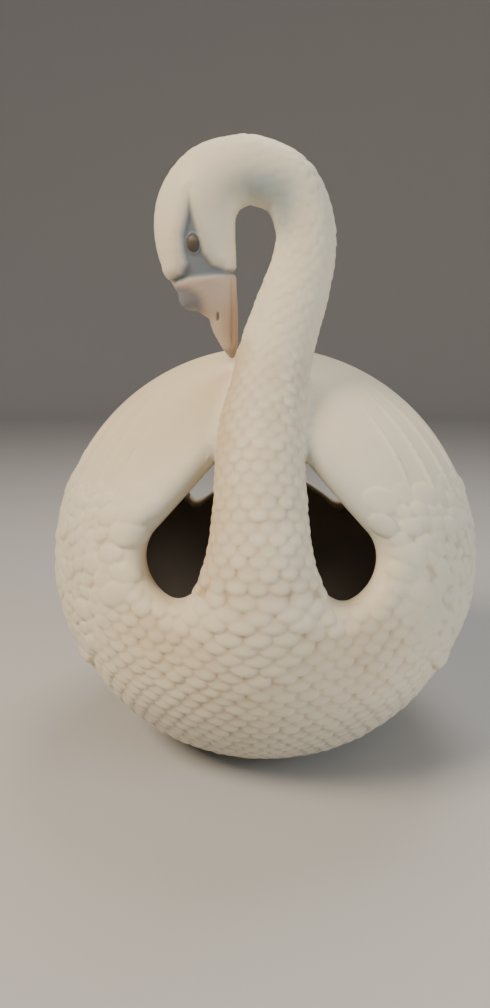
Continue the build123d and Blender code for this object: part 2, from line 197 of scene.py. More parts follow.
def window(p):
    """Distance outside the teardrop windows, seen from the front."""
    x, z = np.abs(p[:, 0]), p[:, 2]
    span = np.subtract(WINDOW_TOP, WINDOW_LOW)
    length = np.hypot(*span)
    axis = span / length
    along = (x - WINDOW_LOW[0]) * axis[0] + (z - WINDOW_LOW[1]) * axis[1]
    across = np.abs((x - WINDOW_LOW[0]) * axis[1] - (z - WINDOW_LOW[1]) * axis[0])
    lean = (WINDOW_LOW_R - WINDOW_TOP_R) / length
    side = math.sqrt(1 - lean * lean)
    k = side * along - lean * across
    low = np.hypot(along, across) - WINDOW_LOW_R
    top = np.hypot(along - length, across) - WINDOW_TOP_R
    return np.where(k < 0, low, np.where(k > side * length, top, across * side + along * lean - WINDOW_LOW_R))


def back_opening(p):
    """Distance outside the opening over the tail, seen from behind."""
    x, z = p[:, 0], p[:, 2] - BACK_Z
    tall = np.where(z > 0, BACK_ABOVE, BACK_BELOW)
    k = np.hypot(x / BACK_HALF_WIDTH, z / tall) + 1e-6
    oval = k * (k - 1) / (np.hypot(x / BACK_HALF_WIDTH**2, z / tall**2) + 1e-9)
    tail = TAIL_PEAK_Z - TAIL_FALL * (np.minimum(np.abs(x), 70) / TAIL_HALF_WIDTH) ** 2
    return soft_cut(oval, (tail - p[:, 2]) * 0.85, 8.0)


def hem(p):
    """Distance above the lower edge of the wings, seen from the front."""
    run = np.subtract(HEM_HIGH, HEM_LOW)
    out = np.array((run[1], -run[0])) / np.hypot(*run)
    slanted = (np.abs(p[:, 0]) - HEM_LOW[0]) * out[0] + (p[:, 2] - HEM_LOW[1]) * out[1]
    level = p[:, 2] - HEM_LOW[1]
    return np.maximum(soft_union(slanted, level, HEM_EASE), p[:, 2] - HEM_HIGH[1])


def skin(p):
    """Distance outside the porcelain's outer skin, rolled edges included, and depth below the egg."""
    # the step at the hem is crisp low down, melts away higher up, and is left out on the breast
    width = 1.4 + 38.0 * ramp(58, 100, p[:, 2])
    at_side = np.maximum(ramp(70, 84, np.abs(p[:, 0])), ramp(-20, 10, p[:, 1]))
    proud = np.maximum(ramp(-0.5, 0.5, hem(p) / width), (1 - at_side) * ramp(30, 96, p[:, 2]))
    depth = egg(p) + STEP * (1 - proud)
    front = p[:, 1] < 0
    edge = np.where(front, window(p), back_opening(p))
    roll = np.where(front, WINDOW_ROLL, BACK_ROLL)
    a, b = roll - edge, depth + roll
    rounded = np.hypot(np.maximum(a, 0), np.maximum(b, 0)) + np.minimum(np.maximum(a, b), 0) - roll
    return rounded, depth + roll + RIM_TURN_IN


def shell(p):
    """Distance to the hollow body: wall, raised floor, foot, sleeve and inlet for the cord."""
    outside, rim_end = skin(p)
    wall = soft_cut(np.maximum(outside, -(outside + WALL)), -rim_end, 2.0)
    x, y, z = p.T
    r = np.hypot(x, y)
    floor = np.maximum(outside, np.maximum(z - FLOOR_TOP, r - RECESS_R - WALL))
    from_inlet = np.hypot(x, z - INLET_Z)
    sleeve = np.maximum(outside, np.maximum(from_inlet - SLEEVE_R, RECESS_R - y))
    solid = soft_union(soft_union(wall, floor, 2.0), sleeve, 2.0)
    recess = np.maximum(r - RECESS_R, z - RECESS_TOP)
    hole = np.maximum(r - PIPE_HOLE_R, z - FLOOR_TOP - 5)
    inlet = np.maximum(from_inlet - INLET_R, -y)
    pocket = np.maximum(from_inlet - POCKET_R, INLET_SEAT_Y - y)
    cuts = np.minimum(np.minimum(recess, hole), np.minimum(inlet, pocket))
    return soft_cut(np.maximum(solid, -cuts), FOOT_Z - z, 1.2)


# ---------------------------------------------------------------------------------------------
# Neck and head. The neck rises from the breast, leans back on the wings, and curls over so that
# the head hangs down on the left. Each station is its centre, then half its width and its depth.
# ---------------------------------------------------------------------------------------------
NECK = np.array(
    [
        (0.0, -83.0, 84.0, 26.0, 15.0),
        (0.0, -88.5, 95.0, 28.0, 18.0),
        (0.0, -91.2, 106.5, 26.6, 20.0),
        (0.0, -91.2, 118.5, 22.9, 20.4),
        (0.0, -88.6, 132.0, 20.6, 19.8),
        (0.0, -85.0, 147.0, 19.1, 18.8),
        (-0.2, -79.0, 162.0, 18.5, 18.2),
        (0.3, -71.0, 177.0, 17.8, 17.6),
        (2.9, -61.5, 193.0, 16.6, 16.5),
        (6.6, -53.0, 212.0, 15.8, 15.8),
        (13.0, -48.0, 232.5, 14.7, 14.6),
        (17.8, -46.8, 249.0, 13.4, 13.4),
        (18.3, -47.0, 264.5, 12.6, 12.7),
        (11.2, -47.6, 280.4, 13.0, 12.9),
        (-3.4, -48.0, 287.2, 13.8, 13.2),
        (-13.6, -48.2, 286.4, 14.6, 13.6),
        (-23.2, -48.4, 281.8, 16.3, 14.0),
        (-29.4, -48.4, 272.0, 17.6, 14.2),
        (-30.4, -48.0, 261.0, 17.9, 14.0),
        (-28.6, -47.0, 250.5, 16.4, 12.6),
        (-24.4, -45.6, 239.5, 12.3, 9.4),
        (-19.3, -44.2, 230.0, 7.6, 6.6),
        (-17.6, -43.0, 221.5, 6.0, 5.0),
        (-15.6, -41.8, 213.5, 3.8, 3.8),
        (-14.6, -41.0, 208.6, 1.6, 1.8),
    ]
)
NECK_BOX = ((-60, 60), (-124, -16), (36, 306))
KNOB = (-32.4, -46.6, 234.4)
KNOB_R = 5.9


def smooth_path(stations, between):
    """A flowing line through the stations, with so many points from one to the next."""
    before = np.vstack([2 * stations[0] - stations[1], stations[:-1]])
    after = np.vstack([stations[1:], 2 * stations[-1] - stations[-2]])
    slope = (after - before) / 2
    rows = []
    for i in range(len(stations) - 1):
        for t in np.arange(between) / between:
            rows.append(
                (2 * t**3 - 3 * t**2 + 1) * stations[i]
                + (t**3 - 2 * t**2 + t) * slope[i]
                + (3 * t**2 - 2 * t**3) * stations[i + 1]
                + (t**3 - t**2) * slope[i + 1]
            )
    return np.array(rows + [stations[-1]])


neck_line = smooth_path(NECK, 4)


def neck(p):
    """Distance outside the neck, head and beak; far from them only a rough one."""
    near = np.ones(len(p), bool)
    for axis, (low, high) in enumerate(NECK_BOX):
        near &= (p[:, axis] > low) & (p[:, axis] < high)
    q = p[near]
    best = np.full(len(q), 40.0)
    for (ax, ay, az, aw, ad), (bx, by, bz, bw, bd) in zip(neck_line[:-1], neck_line[1:]):
        start = np.array((ax, ay, az))
        run = np.array((bx, by, bz)) - start
        t = np.clip((q - start) @ run / (run @ run), 0, 1)
        off = q - start - t[:, None] * run
        wide, deep = aw + (bw - aw) * t, ad + (bd - ad) * t
        here = np.sqrt(off[:, 0] ** 2 + off[:, 2] ** 2 + (off[:, 1] * wide / deep) ** 2) - wide
        best = np.minimum(best, here)
    knob = np.linalg.norm(q - KNOB, axis=1) - KNOB_R
    out = np.full(len(p), 40.0)
    out[near] = soft_union(best, knob, 1.8)
    return out


def porcelain(p):
    """Distance to the whole swan. The neck flows out of the breast, but only leans on the wings."""
    blend = 3.0 + 12.0 * (1 - ramp(100, 126, p[:, 2]))
    return soft_union(shell(p), neck(p), blend)


# ---------------------------------------------------------------------------------------------
# From form to skin. The form is wrapped in a net of small quads that is then pulled on to the
# surface. The net is made twice as fine where feathers will be modelled, and finer again at the head.
# ---------------------------------------------------------------------------------------------
NET = 1.8
FORM_LOW = np.array((-114.0, -120.0, 0.5))
FORM_HIGH = np.array((114.0, 131.0, 305.0))
HEAD_LOW = 203.0
HEAD_TOP = 280.0
HEAD_RIGHT = -8.0


def net_over(form, low, high, size):
    """Corners and quads of the surface where the form's distance is nought."""
    axes = [np.arange(a, b, size) for a, b in zip(low, high)]
    shape = tuple(len(a) for a in axes)
    value = np.empty(shape, np.float32)
    for i, x in enumerate(axes[0]):
        y, z = np.meshgrid(axes[1], axes[2], indexing="ij")
        value[i] = form(np.column_stack([np.full(y.size, x), y.ravel(), z.ravel()])).reshape(y.shape)
    inside = value < 0
    corner = [(i, j, k) for i in (0, 1) for j in (0, 1) for k in (0, 1)]
    cells = tuple(n - 1 for n in shape)
    total = np.zeros(cells, np.int8)
    for i, j, k in corner:
        total += inside[i : i + cells[0], j : j + cells[1], k : k + cells[2]]
    cell = np.argwhere((total > 0) & (total < 8))
    number = np.full(cells, -1, np.int64)
    number[tuple(cell.T)] = np.arange(len(cell))
    at = [value[tuple((cell + c).T)] for c in corner]
    place, hits = np.zeros((len(cell), 3)), np.zeros(len(cell))
    for a in range(8):
        for b in range(a + 1, 8):
            step = np.subtract(corner[b], corner[a])
            if np.abs(step).sum() == 1:
                crossed = (at[a] < 0) != (at[b] < 0)
                t = at[a][crossed] / (at[a][crossed] - at[b][crossed])
                place[crossed] += np.array(corner[a]) + t[:, None] * step
                hits[crossed] += 1
    points = (cell + place / hits[:, None]) * size + low
    quads = []
    for axis in range(3):
        one, two = (axis + 1) % 3, (axis + 2) % 3
        ahead = np.roll(inside, -1, axis)
        edge = np.argwhere(inside != ahead)
        edge = edge[(edge[:, axis] < cells[axis]) & (edge[:, one] > 0) & (edge[:, two] > 0)]
        edge = edge[(edge[:, one] < cells[one]) & (edge[:, two] < cells[two])]
        d1, d2 = np.eye(3, dtype=int)[one], np.eye(3, dtype=int)[two]
        ring = [number[tuple((edge - s).T)] for s in (0 * d1, d1, d1 + d2, d2)]
        ring = np.column_stack(ring)
        outward = inside[tuple(edge.T)]
        ring[~outward] = ring[~outward][:, ::-1]
        quads.append(ring)
    return points, np.vstack(quads)


def pull_on(form, points, rounds):
    """Moves points along the form's slope until they lie on its surface."""
    for _ in range(rounds):
        here = form(points)
        reach = 0.05
        slope = np.column_stack([form(points + np.eye(3)[a] * reach) - here for a in range(3)]) / reach
        length = np.maximum((slope**2).sum(1), 0.25)
        points = points - np.clip(here / length, -1.5, 1.5)[:, None] * slope
    return points


net_points, net_quads = net_over(porcelain, FORM_LOW, FORM_HIGH, NET)
net_points = pull_on(porcelain, net_points, 2)


def edges_of(quads):
    """The four edges of every quad, end to end."""
    return np.vstack([quads[:, [k, (k + 1) % 4]] for k in range(4)])


def refine(points, quads, others, chosen):
    """Every chosen quad becomes four; neighbours keep their shape and take up the new corners."""
    mids, extra, finer = {}, [], []
    middle = len(points) + len(np.unique(np.sort(edges_of(quads[chosen]), axis=1), axis=0))
    for face in quads[chosen].tolist():
        ring = []
        for a, b in zip(face, face[1:] + face[:1]):
            key = (a, b) if a < b else (b, a)
            if key not in mids:
                mids[key] = len(points) + len(extra)
                extra.append((points[a] + points[b]) / 2)
            ring.append(mids[key])
        finer += [(face[k], ring[k], middle, ring[k - 1]) for k in range(4)]
        middle += 1
    rest = []
    for face in quads[~chosen].tolist() + others:
        ring = []
        for a, b in zip(face, face[1:] + face[:1]):
            ring.append(a)
            mid = mids.get((a, b) if a < b else (b, a))
            if mid is not None:
                ring.append(mid)
        rest.append(ring)
    more = np.vstack([np.array(extra), points[quads[chosen]].mean(axis=1)])
    return np.vstack([points, pull_on(porcelain, more, 1)]), np.array(finer), rest


def is_outside(points):
    """True on the outer skin, where feathers are modelled, and false on the inner wall."""
    out = skin(points)[0] > -WALL / 2
    return (out & (points[:, 2] > FOOT_Z + 1.0)) | ((neck(points) < 0.5) & (egg(points) > -9))


fine = is_outside(net_points[net_quads].mean(axis=1))
points, quads, others = refine(net_points, net_quads, [], fine)
middles = points[quads].mean(axis=1)
at_head = (middles[:, 2] > HEAD_LOW) & (middles[:, 2] < HEAD_TOP)
at_head &= (middles[:, 0] < HEAD_RIGHT) & (neck(middles) < 1)
points, head_quads, everything = refine(points, quads, others, at_head)
everything += head_quads.tolist()

# ---------------------------------------------------------------------------------------------
# Feathers. Each is a low pillow pressed up out of the skin, higher towards its tip, laid over its
# neighbours like a roof tile. They are small scales on breast and neck, lumps on the shoulders,
# and long vanes on the sides and back.
# ---------------------------------------------------------------------------------------------
rng = np.random.default_rng(7)
facing = np.zeros_like(points)
slope_reach = 0.4
form_here = porcelain(points)
for axis in range(3):
    nudge = np.zeros(3)
    nudge[axis] = slope_reach
    facing[:, axis] = porcelain(points + nudge) - form_here
facing /= np.linalg.norm(facing, axis=1)[:, None] + 1e-9
outer = is_outside(points)
outer_index = np.flatnonzero(outer)
finder = kdtree.KDTree(len(outer_index))
for number, place in enumerate(points[outer_index]):
    finder.insert(place, number)
finder.balance()
relief = np.zeros(len(points))


def lay_feather(centre, tip, length, width, height, lift=0.6, square=2.2, crisp=False):
    """Presses one feather up out of the skin. Tip is the way it points, and length and width are halves.
    Lift is how much lower its root is; a square of 2 is an oval, and more is a fuller outline."""
    found = finder.find_range(centre, max(length, width))
    if not found:
        return
    index = outer_index[[number for _, number, _ in found]]
    normal = facing[index].mean(axis=0)
    tip = tip - normal * (tip @ normal) / (normal @ normal)
    tip = tip / (np.linalg.norm(tip) + 1e-9)
    side = np.cross(normal, tip)
    off = points[index] - centre
    along, across = off @ tip / length, off @ side / (width * np.linalg.norm(normal))
    oval = np.abs(along) ** square + np.abs(across) ** square
    dome = ramp(1.0, 0.8, oval) if crisp else np.sqrt(np.clip(1 - oval**1.5, 0, 1))
    press = height * dome * (1 - lift + lift * (along + 1) / 2)
    turned = (facing[index] @ normal) > 0.2
    relief[index] = np.maximum(relief[index], np.where(turned, press, 0))


ROW = 5.0  # from one row of breast scales to the next, down the skin
COLUMN = math.radians(6.3)
COLUMNS = 31  # on each side of the middle
BREAST_TOP = 127.0
RAY = np.arange(30.0, 130.0, 1.6)


def breast_spots(z, bearings):
    """Points of the outer skin at one height, in these directions from the middle of the egg."""
    out = np.column_stack([np.sin(bearings), -np.cos(bearings)])
    probe = np.concatenate([np.column_stack([out * r, np.full(len(out), z)]) for r in RAY])
    inside = porcelain(probe).reshape(len(RAY), -1) < 0
    last = len(RAY) - 1 - np.argmax(inside[::-1], axis=0)
    spots = np.column_stack([out * RAY[last][:, None], np.full(len(out), z)])
    hit = inside.any(axis=0)
    return pull_on(porcelain, spots, 2)[hit], np.flatnonzero(hit)


# breast and bowl: rows of scales from beneath the windows down to the foot
row, height = 0, BREAST_TOP
while height > FOOT_Z + 4:
    column = np.arange(-COLUMNS, COLUMNS) + 0.5 * (row % 2)
    crowd = 6.0 * float(ramp(62, 98, height))
    bearing = np.degrees(COLUMN) * column
    bearing -= np.sign(column) * crowd * ramp(1.6, 6.5, np.abs(column))
    spots, which = breast_spots(height, np.radians(bearing))
    gap = np.abs(np.gradient(bearing)) * math.pi / 180
    for spot, k in zip(spots, which):
        above_hem = hem(spot[None])[0] > 4 and height > 47
        neck_takes_over = height > 113 and spot[1] < 0
        in_window = height > 101 and neck(spot[None])[0] > 2 and window(spot[None])[0] < 1
        if above_hem or neck_takes_over or in_window or abs(bearing[k]) > 179:
            continue
        fade = 0.5 + 0.5 * float(ramp(6, 26, height))
        wide = max(gap[k] * math.hypot(spot[0], spot[1]), 6.0)
        lay_feather(
            spot + rng.normal(0, 0.35, 3),
            np.array((rng.normal(0, 0.08), 0.0, -1.0)),
            ROW * 0.94 * rng.uniform(0.92, 1.1),
            wide * 0.53 * rng.uniform(0.93, 1.08),
            2.0 * fade * rng.uniform(0.8, 1.15),
            lift=0.8,
        )
    lean = math.sqrt(max(1 - ((height - EGG_Z) / EGG_R) ** 2, 0.05)) if height < EGG_Z else 1.0
    height -= ROW * max(lean, 0.3)
    row += 1

# the neck: rows of scales round it, finer and fainter as they near the arch, which stays smooth
NECK_ROUND = 16
NECK_SCALES_LOW = 117
SMOOTH_END = 62
line = smooth_path(NECK, 24)
steps = np.linalg.norm(np.diff(line[:, :3], axis=0), axis=1)
run = np.concatenate([[0], np.cumsum(steps)])
start = run[np.argmin(np.abs(line[:, 2] - NECK_SCALES_LOW) + 100 * (line[:, 1] > -60))]
scales_end = run[-1] - SMOOTH_END
so_far, row = start, 0
while so_far < scales_end:
    centre = np.array([np.interp(so_far, run, line[:, k]) for k in range(5)])
    ahead = np.array([np.interp(so_far + 2, run, line[:, k]) for k in range(3)])
    way = ahead - centre[:3]
    way /= np.linalg.norm(way)
    front = np.array((0.0, -1.0, 0.0))
    front -= way * (front @ way)
    front /= np.linalg.norm(front)
    left = np.cross(way, front)
    share = (so_far - start) / (scales_end - start)
    pitch = np.interp(share, [0, 0.5, 1], [4.4, 4.0, 3.5])
    bold = np.interp(share, [0, 0.35, 0.7, 1], [1.7, 1.35, 0.85, 0.0])
    spots = []
    for k in range(NECK_ROUND):
        turn = (k + 0.5 * (row % 2)) * math.tau / NECK_ROUND
        spots.append(centre[:3] + front * math.cos(turn) * centre[4] + left * math.sin(turn) * centre[3])
    spots = np.array(spots)
    on_skin = pull_on(porcelain, spots, 2)
    width = math.pi * (centre[3] + centre[4]) / NECK_ROUND
    for spot, before in zip(on_skin, spots):
        if np.linalg.norm(spot - before) < 2.5:
            lay_feather(
                spot + rng.normal(0, 0.28, 3),
                -way,
                pitch * rng.uniform(0.93, 1.1),
                width * 0.54 * rng.uniform(0.93, 1.08),
                bold * rng.uniform(0.8, 1.15),
                lift=0.8,
            )
    so_far += pitch
    row += 1

# the shoulders: lumps of many sizes, larger towards the windows, strewn at random but kept apart
LUMP_LONG = 6.2
LUMP_WIDE = 4.1
LUMP_HEIGHT = 2.3
LUMP_APART = 2.1
LUMP_TRIES = 12000
shoulder = points[outer_index]
shoulder = shoulder[(shoulder[:, 1] < 22) & (shoulder[:, 2] > 62) & (shoulder[:, 2] < 156)]
shoulder = shoulder[(hem(shoulder) > 0) & (window(shoulder) > 7.5) & (np.abs(shoulder[:, 0]) > 40)]
shoulder = shoulder[rng.permutation(len(shoulder))]
lumps, bulks = np.zeros((0, 3)), np.zeros(0)
for spot in shoulder[:LUMP_TRIES]:
    bulk = rng.uniform(0.72, 1.32) * (1.1 - 0.36 * float(ramp(60, 100, abs(spot[0]))))
    if len(lumps):
        off = lumps - spot
        both = (bulks + bulk) / 2
        level = (np.hypot(off[:, 0], off[:, 1]) / (LUMP_LONG * both)) ** 2
        if (level + (off[:, 2] / (LUMP_WIDE * both)) ** 2).min() < LUMP_APART:
            continue
    lumps, bulks = np.vstack([lumps, spot]), np.append(bulks, bulk)
for spot, bulk in zip(lumps, bulks):
    outward = 1.0 if spot[0] > 0 else -1.0
    fade = float(ramp(154, 140, spot[2])) * float(ramp(62, 80, spot[2])) * float(ramp(24, 8, spot[1]))
    lay_feather(
        spot,
        np.array((outward * rng.uniform(0.8, 1.0), 0.6, -0.35 + rng.normal(0, 0.25))),
        LUMP_LONG * bulk * rng.uniform(1.1, 1.3),
        LUMP_WIDE * bulk * rng.uniform(1.05, 1.2),
        LUMP_HEIGHT * bulk * fade,
        lift=0.35,
        square=2.0,
    )

# the sides and back: ranks of longer vanes that sweep back to the tail; each rank is its place along
# the egg, then half a vane's length, half its width, and its height
RANKS = (
    (15, 11, 6.5, 1.4),
    (28, 13, 7.4, 1.5),
    (43, 15, 8.2, 1.6),
    (60, 18, 9.0, 1.7),
    (79, 20, 9.6, 1.8),
    (100, 20, 9.6, 1.8),
)
for rank, (y, half_long, half_wide, tall) in enumerate(RANKS):
    reach = EGG_R * math.sqrt(1 - (y / EGG_REAR) ** 2)
    count = int(math.tau * reach / (half_wide * 1.75))
    rolls = (np.arange(count) + 0.5 * (rank % 2)) * math.tau / count
    ring_spots = np.column_stack([reach * np.sin(rolls), np.full(count, y), EGG_Z + reach * np.cos(rolls)])
    for spot in pull_on(porcelain, ring_spots, 2):
        if hem(spot[None])[0] < 3 or back_opening(spot[None])[0] < 3:
            continue
        soft = 1.0 - 0.75 * float(ramp(160, 205, spot[2])) * float(ramp(70, 20, y))
        lay_feather(
            spot + rng.normal(0, 0.5, 3),
            np.array((0.0, 1.0, 0.22 + rng.normal(0, 0.05))),
            half_long * rng.uniform(0.93, 1.1),
            half_wide * rng.uniform(0.96, 1.08),
            tall * soft * rng.uniform(0.85, 1.1),
            lift=0.85,
            square=2.4,
            crisp=True,
        )

# long ribs down the front of the wings, above the shoulders: each is its bearing from the front in
# degrees, then its lower and its upper end
RIBS = ((74, 120, 190), (63, 136, 200), (53, 146, 197), (43, 156, 190))
spread = np.degrees(np.arctan2(np.abs(points[:, 0]), -points[:, 1]))
reach = np.hypot(points[:, 0], points[:, 1])
for degrees, low, high in RIBS:
    shift = (points[:, 2] - low) * 0.06
    away = np.radians(spread - degrees + shift) * reach
    rib = np.exp(-((away / 0.95) ** 2))
    vane = 0.5 * np.clip(1 - away / 9.0, 0, 1) * (away > 0)
    share = ramp(low - 10, low + 8, points[:, 2]) * ramp(high, high - 26, points[:, 2])
    swept_up = (rib + vane) * share * outer * (points[:, 1] < 10) * ramp(0.5, 4, neck(points))
    relief = np.maximum(relief, swept_up)

# ---------------------------------------------------------------------------------------------
# Face. A bare mask runs from above the eye down to the bill, sunk between forehead and cheek. The
# eye bulges in it. Below it come the bill with its knob, a slot of a nostril and the gape.
# ---------------------------------------------------------------------------------------------
MASK = np.array(
    [
        (-31.1, 277.0),
        (-32.6, 266.0),
        (-34.6, 259.0),
        (-34.4, 252.5),
        (-33.4, 247.6),
        (-36.2, 243.6),
        (-42.0, 241.6),
        (-40.0, 239.4),
        (-32.7, 241.2),
        (-20.7, 242.7),
        (-8.0, 244.4),
        (-8.0, 246.2),
        (-16.3, 245.6),
        (-21.8, 247.2),
        (-25.1, 251.6),
        (-27.4, 259.0),
        (-29.2, 265.6),
    ]
)
BILL_BASE = np.array([(-44.0, 239.0), (-36.0, 240.2), (-32.7, 241.2), (-20.7, 242.7), (-8.0, 244.2)])
EYE = (-30.0, 255.7)
EYE_HALF = (2.5, 3.4)
NOSTRIL = (-20.4, 225.6)
GAPE_X = -14.2


def outline_distance(p, outline):
    """Distance outside a closed outline seen from the front; negative inside it."""
    x, z = p[:, 0], p[:, 2]
    best, crossings = np.full(len(p), 1e9), np.zeros(len(p), int)
    for (ax, az), (bx, bz) in zip(outline, np.roll(outline, -1, axis=0)):
        t = np.clip(((x - ax) * (bx - ax) + (z - az) * (bz - az)) / ((bx - ax) ** 2 + (bz - az) ** 2), 0, 1)
        best = np.minimum(best, np.hypot(x - ax - t * (bx - ax), z - az - t * (bz - az)))
        across = (az > z) != (bz > z)
        crossings += across & (x < ax + (z - az) * (bx - ax) / (bz - az if bz != az else 1e-9))
    return np.where(crossings % 2 == 1, -best, best)


# the skin of the head: left of the neck's stem, which the bill hangs beside and almost touches
head = (points[:, 2] > HEAD_LOW) & (points[:, 2] < HEAD_TOP + 10) & (neck(points) < 1)
head &= points[:, 0] < np.where(points[:, 2] < 232, -10.2, -5.0)
head &= (points[:, 2] > 218) | (points[:, 1] > -47.5)
face = points[head]
mask_edge = outline_distance(face, MASK)
below_base = np.interp(face[:, 0], BILL_BASE[:, 0], BILL_BASE[:, 1]) - face[:, 2]
in_mask = ramp(1.3, -1.6, mask_edge) * ramp(279, 264, face[:, 2])
swell = 0.7 * np.exp(-(((mask_edge - 3.6) / 3.2) ** 2))
swell *= ramp(0.5, -3, below_base) * ramp(-12, -17, face[:, 0])
on_bill = ramp(-0.4, 0.8, below_base)
eye_round = np.hypot((face[:, 0] - EYE[0]) / EYE_HALF[0], (face[:, 2] - EYE[1]) / EYE_HALF[1])
eyeball = np.sqrt(np.clip(1 - eye_round**2, 0, 1))
lid = 0.55 * np.exp(-(((eye_round - 1.22) / 0.16) ** 2))
slot = np.hypot((face[:, 0] - NOSTRIL[0]) / 0.8, (face[:, 2] - NOSTRIL[1]) / 2.1)
nostril = ramp(1.25, 0.7, slot)
gape = np.exp(-(((face[:, 0] - GAPE_X) / 0.5) ** 2)) * ramp(-1, 4, below_base) * ramp(211, 216, face[:, 2])
relief[head] += (
    swell
    - 1.7 * in_mask * (1 - on_bill)
    - 0.4 * on_bill * np.exp(-((below_base / 1.0) ** 2))
    + 1.5 * eyeball
    + lid * (eye_round > 1)
    - 0.7 * nostril
    - 0.45 * gape
)

# ---------------------------------------------------------------------------------------------
# Colour of the bisque. Ivory body, airbrushed before the second firing: slate on the mask, pink on the bill.
# Painted shade: ochre in the grooves, pale blue in the crook, round the tops of the windows and towards the
# foot, and a darker inner wall. Painted light: warm tints on the back and the neck's left, a highlight in the
# eye.
# ---------------------------------------------------------------------------------------------


def linear(*srgb):
    """A colour as a painter reads it, turned into light."""
    return np.array([((c / 255 + 0.055) / 1.055) ** 2.4 for c in srgb])


IVORY = (241, 228, 200)
GROOVE_SHADE_OCHRE = (182, 144, 98)
HONEY = (220, 184, 132)
WARM_LIGHT_BUTTER = (224, 190, 138)
WARM_LIGHT_CREAM = (230, 206, 164)
WARM_LIGHT_TAN = (206, 168, 120)
RIM_SHADE_BLUE = (172, 188, 192)
SHADOW_BLUE = (138, 156, 162)
MIST_BLUE = (170, 184, 186)
CROOK_SHADE_BLUE = (138, 164, 172)
INTERIOR_SHADE = (146, 132, 116)
paint = np.tile(linear(*IVORY), (len(points), 1))


def airbrush(amount, colour):
    """Lays a thin colour over what is there."""
    global paint
    share = np.clip(amount, 0, 1)[:, None]
    paint = paint * (1 - share) + linear(*colour) * share


# painted shade: ochre darkening in the grooves between scales and, half as strong, between lumps
x, y, z = points.T
on_neck_skin = neck(points) < 0.6
scaled = ramp(118, 108, z) * ramp(4, -6, hem(points))
scaled = np.maximum(scaled, on_neck_skin * ramp(222, 196, z) * (z > 100))
lumped = ramp(64, 76, z) * ramp(136, 126, z) * ramp(24, 2, y)
lumped *= ramp(7, 12, window(points)) * (hem(points) > 0)
groove_shade = np.clip(1 - relief / 1.15, 0, 1) * outer
clear_of_rim = np.where(y < 0, ramp(3, 9, window(points)), 1.0)
groove_shade_area = np.maximum(scaled * np.where(on_neck_skin, 1.0, clear_of_rim), 0.5 * lumped)
airbrush(0.6 * groove_shade * groove_shade_area, GROOVE_SHADE_OCHRE)

# warm tones: low on the breast, and painted warm light on the back, stronger on its left, and on the
# left-facing side of the neck
low_front = np.exp(-(((np.abs(x) - 42) / 20) ** 2) - (((z - 90) / 16) ** 2)) * ramp(20, -10, y)
airbrush(0.30 * low_front, HONEY)
warm_light_back = ramp(140, 190, z) * ramp(0.5, 9, neck(points)) * ramp(90, 30, y)
airbrush(0.42 * warm_light_back * ramp(6, -6, x), WARM_LIGHT_BUTTER)
airbrush(0.25 * warm_light_back * ramp(-6, 6, x), WARM_LIGHT_CREAM)
airbrush(0.35 * on_neck_skin * (z > 104) * (z < 215) * ramp(-0.35, -0.9, facing[:, 0]), WARM_LIGHT_TAN)

# cool tones: painted shade at the tops of the windows, towards the foot and in the grooves, and in the neck's
# crook; a faint cool tint down the sides
window_rim_shade = np.exp(-((window(points) - 2) / 7) ** 2) * (y < 0) * ~on_neck_skin
airbrush(0.5 * window_rim_shade * ramp(118, 138, z), RIM_SHADE_BLUE)
airbrush(0.5 * ramp(70, 22, z) * outer * (0.55 + groove_shade), SHADOW_BLUE)
airbrush(0.14 * ramp(60, 96, np.abs(x)) * ramp(170, 130, z) * ramp(50, 74, z), MIST_BLUE)
crook = np.exp(-(((x + 1) / 13) ** 2) - (((z - 279) / 8.5) ** 2))
crook += 0.85 * np.exp(-(((x - 9) / 6) ** 2) - (((z - 268) / 11) ** 2))
airbrush(0.72 * crook * on_neck_skin, CROOK_SHADE_BLUE)

# painted shade: the inner wall is darkened to the dim grey-brown of porcelain in shadow
inner_wall_shade = (1 - outer) * ramp(-1.8, -3.8, skin(points)[0]) * ~on_neck_skin
airbrush(inner_wall_shade * (z > FLOOR_TOP - 1), INTERIOR_SHADE)

HALO_GREY = (150, 158, 162)
SLATE = (108, 118, 130)
BILL_BUFF = (200, 180, 162)
BILL_PINK = (206, 172, 156)
KNOB_SLATE = (112, 117, 128)
TIP_GREY = (120, 118, 116)
GAPE_RED = (166, 126, 114)
NOSTRIL_OLIVE = (118, 112, 84)
EYE_BROWN = (84, 68, 54)
EYE_HIGHLIGHT = (128, 118, 106)
LID_GREY = (62, 60, 62)


def paint_face(amount, colour):
    """Lays a thin colour over the head alone."""
    everywhere = np.zeros(len(points))
    everywhere[head] = amount
    airbrush(everywhere, colour)


halo = np.exp(-((np.clip(mask_edge, 0, 99) / 3.4) ** 2)) * (1 - on_bill) * ramp(282, 262, face[:, 2])
knob_near = np.linalg.norm(face - KNOB, axis=1)
paint_face(0.40 * halo, HALO_GREY)
paint_face(0.88 * ramp(1.1, -1.1, mask_edge) * ramp(280, 264, face[:, 2]), SLATE)
paint_face(0.95 * on_bill, BILL_BUFF)
paint_face(0.3 * on_bill * ramp(-20, -12, face[:, 0]), BILL_PINK)
paint_face(0.88 * on_bill * ramp(11.5, 6.0, knob_near), KNOB_SLATE)
paint_face(0.6 * on_bill * ramp(213.5, 209, face[:, 2]), TIP_GREY)
paint_face(0.4 * gape * on_bill, GAPE_RED)
paint_face(0.7 * nostril, NOSTRIL_OLIVE)
paint_face(0.95 * (eye_round < 1), EYE_BROWN)
# painted highlight: the upper part of the eye is lighter
paint_face(0.7 * (eye_round < 0.95) * ramp(255.6, 258.0, face[:, 2]), EYE_HIGHLIGHT)
paint_face(0.6 * np.exp(-(((eye_round - 1.1) / 0.12) ** 2)), LID_GREY)

plain = points
points = plain + facing * relief[:, None]

